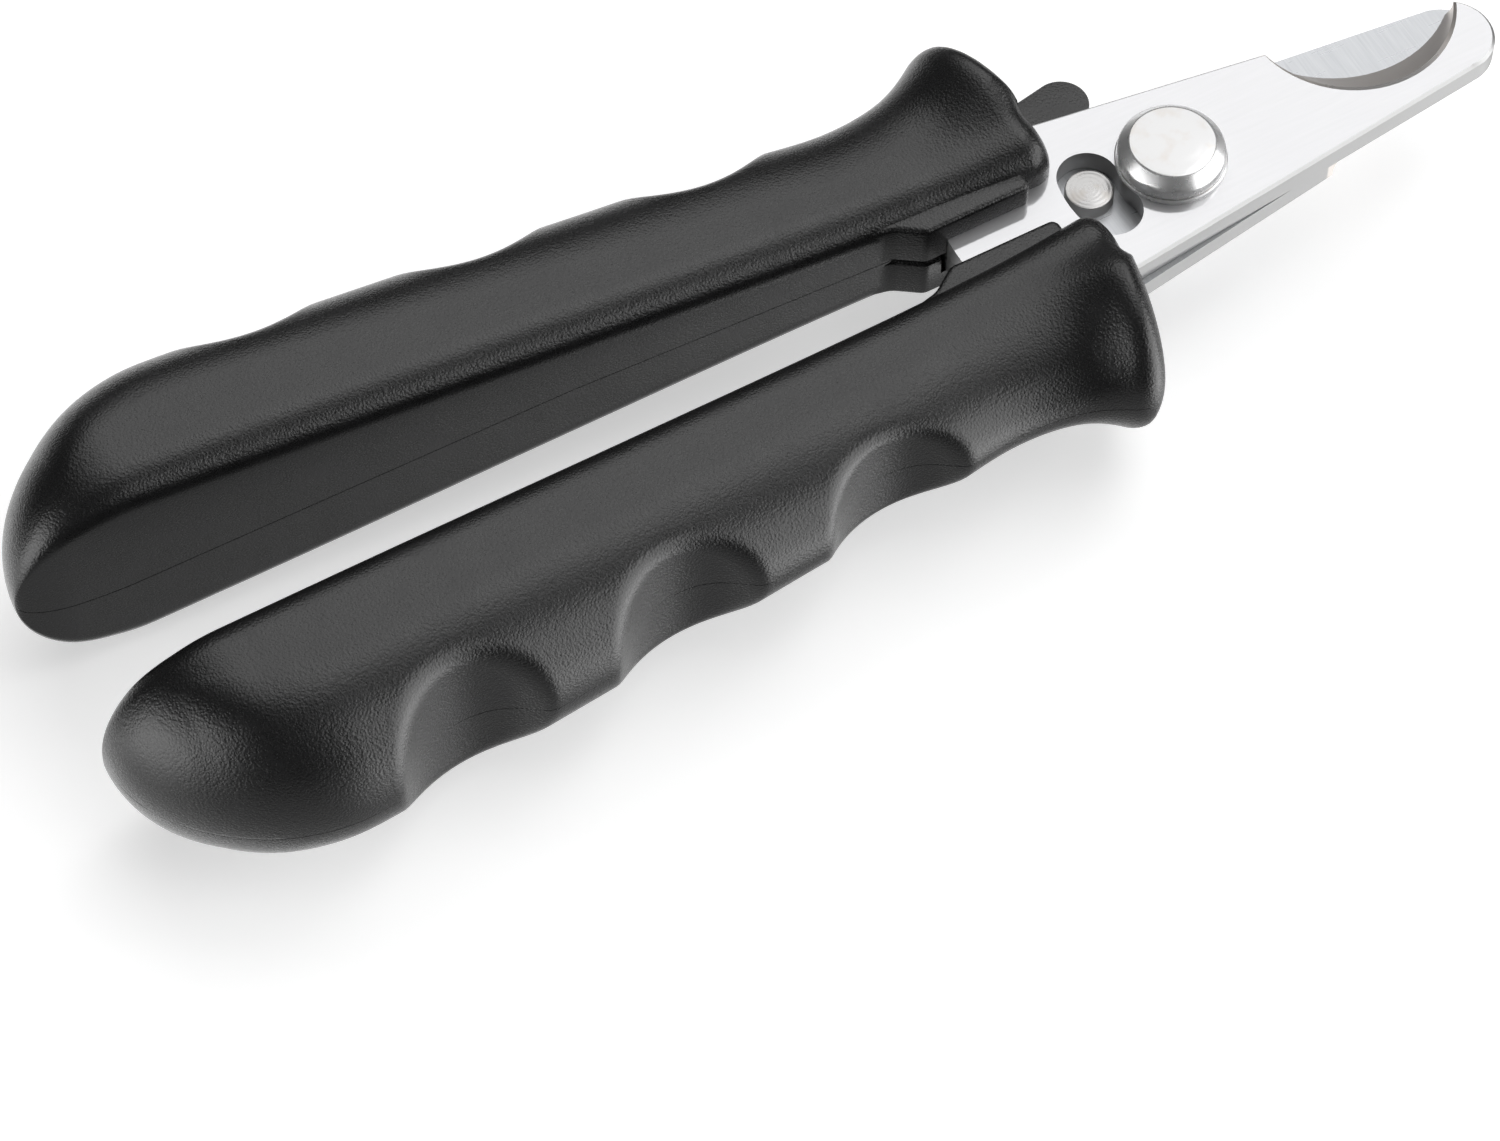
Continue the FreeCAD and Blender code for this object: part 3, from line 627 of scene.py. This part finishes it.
def plain_metal(name, colour, roughness=0.3):
    """Plated or drawn metal with small pits and uneven sheen."""
    s = new_material(name)
    pits = s.noise(3000, 4)
    sheen = s.noise(500, 2)
    tint = s.mix(s.fade(sheen, 0.35, 0.7), colour, tuple(0.85 * v for v in colour))
    rough = s.fade(pits, 0.3, 0.7, roughness * 0.8, roughness * 1.3)
    return s.finish(Base_Color=tint, Metallic=1.0, Roughness=rough, Normal=s.bump(pits, 0.00001, 0.5))


def nylon():
    s = new_material("nylon")
    grain = s.noise(2500, 3)
    colour = s.mix(grain, (0.60, 0.57, 0.50), (0.68, 0.66, 0.60))
    rough_skin = s.bump(grain, 0.00002, 0.4)
    return s.finish(Base_Color=colour, Roughness=0.45, Subsurface_Weight=0.1, Normal=rough_skin)


# ---- pieces ----

def build_handles(plastic):
    for upper, body in ((True, "upper_lever"), (False, "lower_lever")):
        side = 1 if upper else -1
        name = body.split("_")[0] + "_handle_"
        top = flipped(moulding(-1), side, 1)
        bottom = flipped(moulding(1), side, -1)
        if upper:
            combine(top, [own_plate_recess()], "DIFFERENCE")
            lets = [flipped(other_plate_pocket(), 1, -1), lever_slot(), leg_hole(1, COIL_BOTTOM)]
        else:
            combine(top, [flipped(other_plate_pocket(), -1, 1)], "DIFFERENCE")
            hook_way = prism("hook_way", released_hook(HOOK_CLEAR), LEVER_BED, -PLATE)
            lets = [flipped(own_plate_recess(), -1, -1), hook_way, leg_hole(-1, COIL_TOP)]
        combine(bottom, lets + counterbores(side), "DIFFERENCE")
        for part, node in ((top, name + "top_shell"), (bottom, name + "bottom_shell")):
            part.name = node + "_moulding"
            shade(part)
            placed(part, node, body, plastic)


def build_lever(plastic):
    """Thumb tab, hub and hook of the lock lever."""
    direction = np.degrees(atan2(TAB_END[1] - TAB_START[1], TAB_END[0] - TAB_START[0]))
    outline = arc(TAB_END, TAB_HALF, direction - 90, direction + 90, 32)
    outline += arc(TAB_START, TAB_HALF, direction + 90, direction + 270, 32)
    z0, z1 = LEVER_LOW.z, LEVER_HIGH.z
    lever = prism("lock_lever_moulding", outline, z0, z1)
    hub = disc("hub", HUB_R, z0, z1, LEVER_PIVOT)
    combine(lever, [hub, prism("hook", released_hook(), z0, z1)], "UNION")
    combine(lever, [disc("bore", BORE_R, FAR, 0, LEVER_PIVOT)], "DIFFERENCE")
    bevelled(lever, 0.5, 4, 50)
    shade(lever)
    placed(lever, "lock_lever", "lock_lever", plastic)


def build_bolt(steel):
    """Head with a broad shoulder, shank, and stud, with small rounds on the turned edges."""
    seat, top, end = PLATE + WASHER, BOLT_HIGH.z, BOLT_LOW.z
    step = -PLATE - 0.08
    profile = [(AXIS_R, top), (4.15, top), (4.3, top - 0.04), (4.4, top - 0.14), (5.17, top - 0.92),
               (5.32, top - 1.1), (HEAD_R, top - 1.35), (HEAD_R, seat + 0.12), (5.28, seat),
               (SHANK_R, seat), (SHANK_R, step), (STUD_R, step), (STUD_R, end + 0.4), (2.1, end),
               (AXIS_R, end)]
    placed(turned_body("pivot_bolt_turning", profile), "pivot_bolt", "upper_lever", steel)


def build_head_washer(steel):
    z0, z1 = PLATE, PLATE + WASHER
    profile = [(SHANK_R, z0), (SHANK_R, z1), (5.48, z1), (5.6, z1 - 0.1), (5.6, z0 + 0.05), (5.55, z0)]
    ring = turned_body("pivot_head_washer_turning", profile + profile[:1])
    placed(ring, "pivot_head_washer", "upper_lever", steel)


def build_stop_pin(steel):
    radius, top, end = (PIN_HIGH.x - PIN_LOW.x) / 2, PIN_HIGH.z, PIN_LOW.z
    profile = [(AXIS_R, top), (radius - 0.28, top), (radius - 0.1, top - 0.06), (radius, top - 0.24),
               (radius, -PLATE), (STUB_R, -PLATE), (STUB_R, end + 0.1), (1.1, end), (AXIS_R, end)]
    placed(turned_body("stop_pin_turning", profile, PIN_CENTRE), "stop_pin", "lower_lever", steel)


def build_spring(steel):
    """Coil with a straight leg reaching into each handle."""
    swept = 720 + 180 - 2 * LEG_ANGLE
    turns = [(*polar(COIL_R, 90 - LEG_ANGLE - swept * t), COIL_BOTTOM + (COIL_TOP - COIL_BOTTOM) * t)
             for t in np.linspace(0, 1, 220)]
    legs = []
    for sign, z in ((1, COIL_BOTTOM), (-1, COIL_TOP)):
        x, y = polar(COIL_R, sign * (90 - LEG_ANGLE))
        dx, dy = polar(LEG_LENGTH, sign * (180 - LEG_ANGLE))
        legs.append([(x + dx * t, y + dy * t, z) for t in np.linspace(1, 0.05, 24)])
    spring = swept_wire("torsion_spring_wire", legs[0] + turns + legs[1][::-1], WIRE_R)
    placed(spring, "torsion_spring", None, steel)
    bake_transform(spring)


def dress(node, material):
    """Give a CAD node, which stays as it is, its finish."""
    obj = frame["nodes"][node]
    obj.data.materials.clear()
    obj.data.materials.append(material)


# ---- floor, light and camera ----

FLOOR_GLOW = 0.62         # the paper's own light, which keeps it near white
ROOM_LIGHT = 0.06         # radiance of the room where nothing bright stands
# bright parts of the room: azimuth of the centre from +Y towards +X, half width, lowest and highest
# elevation, and radiance; mirrors and satin plastic see these, also below the floor's horizon
BRIGHT = ((105, 50, 52, 90, 1.5),
          (-98, 29, -20, 26, 3.1),
          (131, 33, -48, 32, 2.9),
          (-15, 48, -80, -22, 0.6),
          (0, 180, 77, 90, 0.8),
          (-20, 100, -90, -14, 0.4),
          (180, 180, -90, -24, 0.3))
EDGE = 8.0                # every bright part fades out over this angle

# the camera's heading from +Y towards +X and its tilt below level, in degrees; lens in millimetres;
# the point it looks at and its distance from there, in metres
CAMERA_HEADING, CAMERA_TILT = 29.114, 57.56
CAMERA_LENS, SENSOR_WIDTH = 127.83, 36
LOOK_AT, CAMERA_DISTANCE = (-0.0589, -0.02045, MEETING), 0.50258


def studio():
    """Pale paper floor, which glows a little and doesn't show in reflections."""
    floor_z = cad_box[0].z - 0.02 * MM
    bpy.ops.mesh.primitive_plane_add(size=6, location=(0, 0, floor_z))
    floor = bpy.context.object
    floor.name = "floor"
    floor.visible_glossy = False
    s = new_material("paper")
    white = s.mix(s.noise(40, 3), (0.80, 0.80, 0.80), (0.82, 0.82, 0.82))
    floor.data.materials.append(s.finish(Base_Color=white, Roughness=0.8, Emission_Color=white,
                                         Emission_Strength=FLOOR_GLOW))


def room():
    """World light: a dim room with soft bright parts."""
    world = bpy.data.worlds.new("studio")
    bpy.context.scene.world = world
    s = Shader(world)
    x, y, z = s.split("Generated")
    azimuth = s.math("DEGREES", s.math("ARCTAN2", x, y))
    elevation = s.math("DEGREES", s.math("ARCSINE", z))
    total = ROOM_LIGHT
    for centre, half, low, high, radiance in BRIGHT:
        aside = s.math("ABSOLUTE", s.math("WRAP", s.math("SUBTRACT", azimuth, centre), 180.0, -180.0))
        across = s.fade(aside, half + EDGE / 2, half - EDGE / 2) if half < 180 else 1.0
        up = s.math("MULTIPLY", s.fade(elevation, low - EDGE / 2, low + EDGE / 2),
                    s.fade(elevation, high + EDGE / 2, high - EDGE / 2))
        total = s.math("MULTIPLY_ADD", s.math("MULTIPLY", across, up), radiance, total)
    background = world.node_tree.nodes["Background"]
    s.feed(background.inputs["Strength"], total)
    s.feed(background.inputs["Color"], (1.0, 1.0, 1.0))


def softbox(azimuth, elevation, distance, size, radiance):
    """Rectangular light; azimuth runs from +Y towards +X, and radiance 1 looks white in a mirror."""
    light = bpy.data.lights.new("softbox", "AREA")
    light.shape = "RECTANGLE"
    light.size, light.size_y = size
    light.energy = radiance * pi * size[0] * size[1]
    obj = bpy.data.objects.new("softbox", light)
    bpy.context.scene.collection.objects.link(obj)
    a, e = radians(azimuth), radians(elevation)
    direction = Vector((sin(a) * cos(e), cos(a) * cos(e), sin(e)))
    obj.location = Vector((-0.04, 0, 0.01)) + direction * distance
    obj.rotation_mode = "QUATERNION"
    obj.rotation_quaternion = (-direction).to_track_quat("-Z", "Y")


def camera():
    heading, tilt = radians(CAMERA_HEADING), radians(CAMERA_TILT)
    look = Vector((sin(heading) * cos(tilt), cos(heading) * cos(tilt), -sin(tilt)))
    data = bpy.data.cameras.new("camera")
    data.sensor_width = SENSOR_WIDTH
    data.lens = CAMERA_LENS
    data.clip_start, data.clip_end = 0.01, 20
    obj = bpy.data.objects.new("camera", data)
    bpy.context.scene.collection.objects.link(obj)
    obj.location = Vector(LOOK_AT) - look * CAMERA_DISTANCE
    obj.rotation_mode = "QUATERNION"
    obj.rotation_quaternion = look.to_track_quat("-Z", "Y")
    bpy.context.scene.camera = obj


# ---- the whole scene ----

plastic = black_plastic()
build_handles(plastic)
build_lever(plastic)
build_bolt(turned_steel("polished_head", (0, 0), (0.60, 0.60, 0.60), 5200.0, 0.12))
build_head_washer(turned_steel("polished_washer", (0, 0), (0.60, 0.60, 0.60), 9000.0, 0.12))
build_stop_pin(turned_steel("turned_pin", PIN_CENTRE, (0.46, 0.455, 0.45), 14000.0, 0.24, 0.000008))
build_spring(plain_metal("spring_wire", (0.50, 0.50, 0.52), 0.28))
dress("top_blade", blade_steel("top_blade_steel", False))
dress("bottom_blade", blade_steel("bottom_blade_steel", True))
zinc = plain_metal("zinc_plate", (0.68, 0.68, 0.70), 0.32)
for node in ("upper_handle_screws", "lower_handle_screws", "spring_retainer", "pivot_nut"):
    dress(node, zinc)
dress("pivot_lock_washer", plain_metal("black_spring_steel", (0.30, 0.30, 0.31), 0.38))
for node in ("upper_tang_dowel", "lower_tang_dowel", "lock_lever_pin"):
    dress(node, plain_metal("ground_steel_" + node, (0.66, 0.66, 0.67), 0.2))
dress("pivot_sleeve", turned_steel("turned_brass", (0, 0), (0.72, 0.55, 0.30), 9000.0, 0.2))
dress("lock_lever_washer", nylon())

studio()
room()
softbox(38, 51, 1.2, (1.5, 1.0), 1.6)
camera()
bpy.context.scene.view_settings.view_transform = "Standard"
